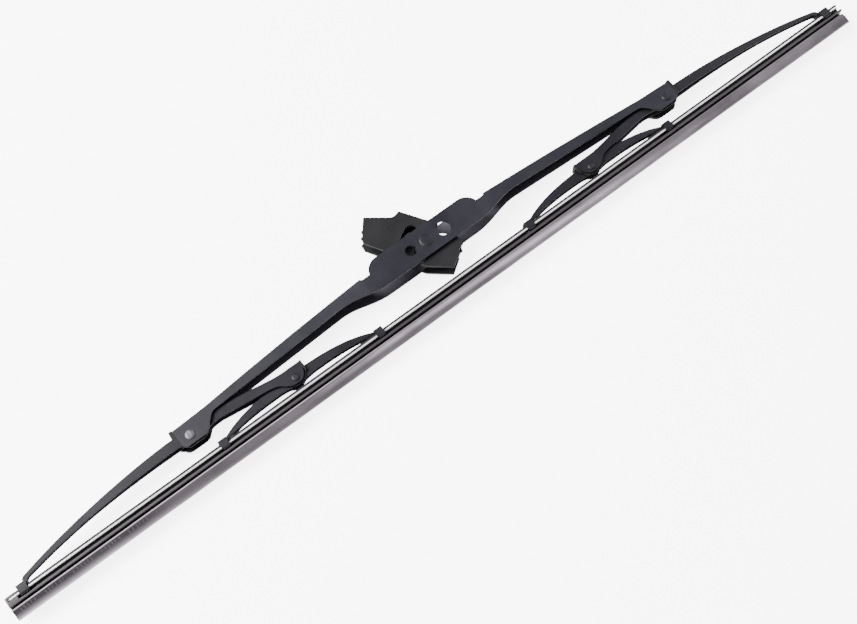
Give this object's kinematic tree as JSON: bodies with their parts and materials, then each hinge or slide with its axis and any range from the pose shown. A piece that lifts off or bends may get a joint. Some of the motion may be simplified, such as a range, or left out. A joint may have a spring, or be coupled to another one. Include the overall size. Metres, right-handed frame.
{
  "type": "wiper blade",
  "caption": "Bracketed windscreen wiper blade: folded steel bridge, levers and yokes that pivot to hold a rubber strip on steel rails, with a turning plastic arm adapter.",
  "frame": {"origin": "on the axis of the arm pin, in the blade's middle plane", "axes": "+X along the blade, +Y from the wiping lip to the bridge's back, +Z across the blade; it lies on its side as in the picture"},
  "size_m": [0.425, 0.0527, 0.013],
  "materials": {
    "bridge_paint": "satin black paint on folded steel",
    "lever_paint": "satin black paint on folded steel",
    "pin_paint": "satin black paint over a clenched head",
    "bare_rivet": "rivet head worn bare, grey",
    "adapter_plastic": "moulded black plastic",
    "liner_plastic": "moulded black plastic",
    "wiper_rubber": "grey rubber with a graphite sheen",
    "rail_steel": "bright stainless strip"
  },
  "bodies": {
    "bridge": {"main_bridge": "bridge_paint", "arm_pin": "pin_paint", "lever_liner_left": "liner_plastic", "lever_liner_right": "liner_plastic", "lever_rivet_left": "bare_rivet", "lever_rivet_right": "pin_paint"},
    "adapter": {"arm_adapter": "adapter_plastic"},
    "lever_left": {"lever_left": "lever_paint", "yoke_liner_left": "liner_plastic", "yoke_rivet_left": "pin_paint"},
    "lever_right": {"lever_right": "lever_paint", "yoke_liner_right": "liner_plastic", "yoke_rivet_right": "pin_paint"},
    "yoke_left": {"yoke_left": "lever_paint"},
    "yoke_right": {"yoke_right": "lever_paint"},
    "squeegee": {"rubber_strip": "wiper_rubber", "vertebra_near": "rail_steel", "vertebra_far": "rail_steel"}
  },
  "joints": [
    {"name": "adapter_turn", "type": "hinge", "parent": "bridge", "child": "adapter", "pos_m": [0, 0, 0], "axis": [0, 0, 1], "range_deg": [-30, 57]},
    {"name": "lever_left_turn", "type": "hinge", "parent": "bridge", "child": "lever_left", "pos_m": [-0.1221, -0.0088, 0], "axis": [0, 0, 1], "range_deg": [-1.5, 4.5], "stiffness_Nm_per_rad": 1.4},
    {"name": "lever_right_turn", "type": "hinge", "parent": "bridge", "child": "lever_right", "pos_m": [0.1221, -0.0088, 0], "axis": [0, 0, 1], "range_deg": [-4.5, 1.5]},
    {"name": "yoke_left_turn", "type": "hinge", "parent": "lever_left", "child": "yoke_left", "pos_m": [-0.07605, -0.0144, 0], "axis": [0, 0, 1], "range_deg": [-2, 0.7]},
    {"name": "yoke_right_turn", "type": "hinge", "parent": "lever_right", "child": "yoke_right", "pos_m": [0.07605, -0.0144, 0], "axis": [0, 0, 1], "range_deg": [-0.7, 2]},
    {"name": "strip_rise", "type": "slide", "parent": "bridge", "child": "squeegee", "axis": [0, 1, 0], "range_m": [-0.002, 0.0058], "deforming": ["rubber_strip", "vertebra_near", "vertebra_far"]}
  ],
  "couplings": [
    {"joint": "lever_right_turn", "follows": "lever_left_turn", "ratio": -1},
    {"joint": "yoke_left_turn", "follows": "lever_left_turn", "ratio": -0.436},
    {"joint": "yoke_right_turn", "follows": "lever_left_turn", "ratio": 0.436},
    {"joint": "strip_rise", "follows": "lever_left_turn", "m_per_rad": 0.0726}
  ]
}
